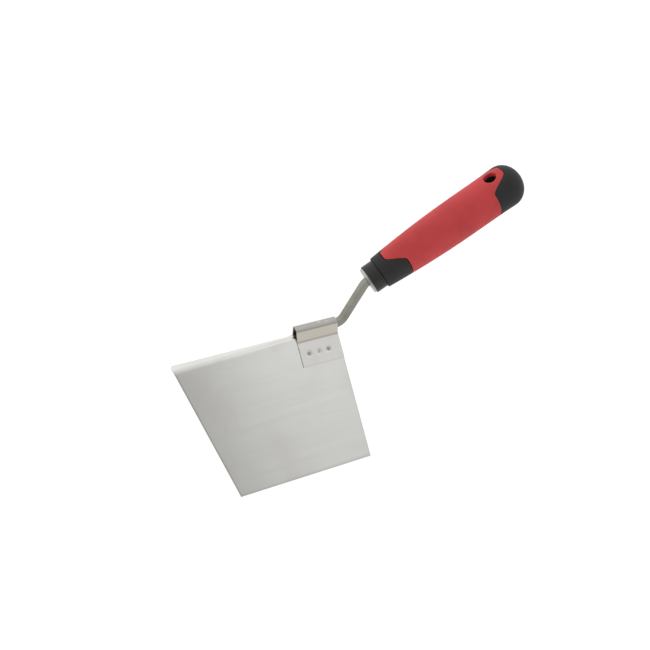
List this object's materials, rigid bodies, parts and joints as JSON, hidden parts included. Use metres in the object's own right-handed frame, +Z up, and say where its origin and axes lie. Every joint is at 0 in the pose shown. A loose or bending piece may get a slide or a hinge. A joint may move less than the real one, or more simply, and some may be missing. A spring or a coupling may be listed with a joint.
{
  "type": "outside corner trowel",
  "caption": "Plastering trowel with a blade folded to a right angle for finishing outside corners, a welded saddle, a bent square tang and a two-colour grip.",
  "frame": {"origin": "on the ground under the middle of the trowel's box, as it stands on the lower edges of its two wings", "axes": "+X along the blade's ridge from the toe towards the handle's butt, +Y to the left of a user who looks along +X, +Z up"},
  "size_m": [0.272, 0.1436, 0.1802],
  "materials": {
    "blade_steel": "satin",
    "saddle_steel": "satin",
    "weld_steel": "matte",
    "tang_steel": "satin",
    "core_plastic": "matte",
    "black_rubber": "matte",
    "red_rubber": "matte"
  },
  "bodies": {
    "root": {"blade": "blade_steel", "saddle": "saddle_steel", "spot_weld_right_1": "weld_steel", "spot_weld_right_2": "weld_steel", "spot_weld_right_3": "weld_steel", "spot_weld_left_1": "weld_steel", "spot_weld_left_2": "weld_steel", "spot_weld_left_3": "weld_steel", "plug_weld_1": "weld_steel", "plug_weld_2": "weld_steel", "tang": "tang_steel", "front_washer": "tang_steel", "handle_core": "core_plastic", "bolster": "black_rubber", "butt_cap": "black_rubber", "grip_sleeve": "red_rubber"}
  },
  "joints": []
}
